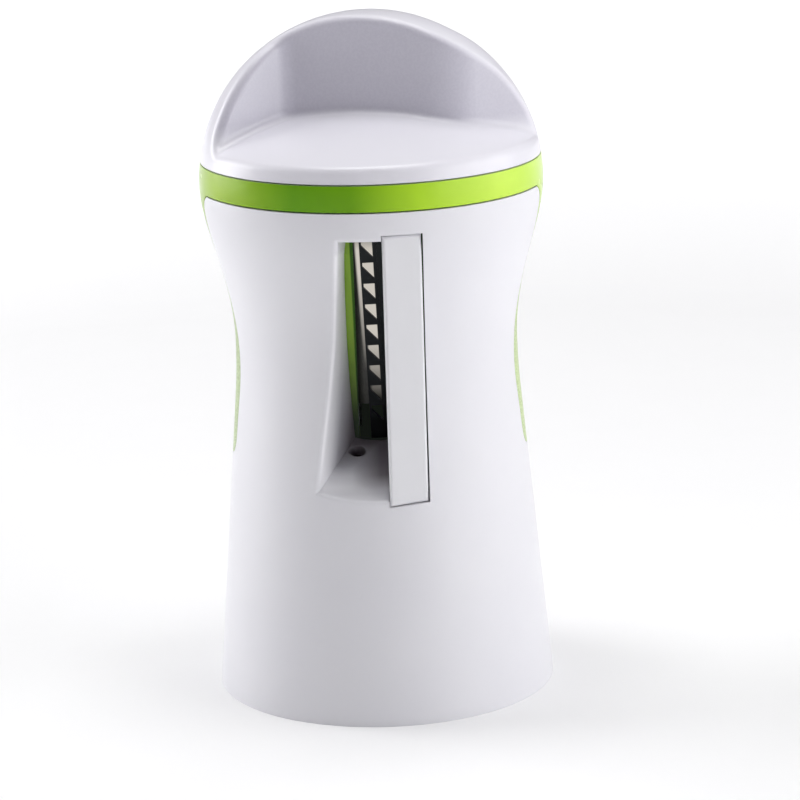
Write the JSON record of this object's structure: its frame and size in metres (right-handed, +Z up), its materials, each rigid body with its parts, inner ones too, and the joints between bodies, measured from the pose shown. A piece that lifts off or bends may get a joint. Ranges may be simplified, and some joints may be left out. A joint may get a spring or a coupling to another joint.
{
  "type": "hand spiralizer",
  "caption": "Hourglass hand spiralizer: white body with a comb and slicing blade in a front window, green ring and side grips, and a domed cap that turns and lifts off.",
  "frame": {"origin": "centre of the base rim, on the surface it stands on", "axes": "+Z up along the body, through the centre of the cap; -Y is the front, with the cutting window; +X is to the right as seen from the front"},
  "size_m": [0.07, 0.07, 0.14],
  "materials": {
    "shell_white": "smooth white ABS with a soft gloss",
    "guard_white": "smooth white ABS, flat face",
    "cap_white": "smooth white ABS with a soft gloss",
    "holder_white": "fine matt white",
    "frame_green": "glossy lime green ABS",
    "funnel_green": "glossy lime green ABS",
    "washer_nylon": "natural nylon",
    "blade_steel": "stamped stainless strip",
    "screw_steel": "zinc plated",
    "pin_steel": "polished stainless"
  },
  "bodies": {
    "body": {"front_shell": "shell_white", "rear_shell": "shell_white", "blade_guard": "guard_white", "base_ring": "shell_white", "grip_frame": "frame_green", "funnel": "funnel_green", "blade_holder": "funnel_green", "comb_blade": "blade_steel", "slicing_blade": "blade_steel", "blade_screws": "screw_steel", "frame_screws": "screw_steel", "base_screws": "screw_steel", "chute_screw": "screw_steel"},
    "carriage": {"lid_plate": "holder_white", "slip_washer": "washer_nylon"},
    "cap": {"cap_dome": "cap_white", "cap_core": "holder_white", "core_screws": "screw_steel", "food_holder": "holder_white", "holder_pins": "pin_steel", "spindle_screw": "screw_steel"}
  },
  "joints": [
    {"name": "cap_lift", "type": "slide", "parent": "body", "child": "carriage", "axis": [0, 0, 1], "range_m": [0, 0.06]},
    {"name": "cap_spin", "type": "hinge", "parent": "carriage", "child": "cap", "pos_m": [0, 0, 0.12], "axis": [0, 0, 1], "continuous": true}
  ]
}
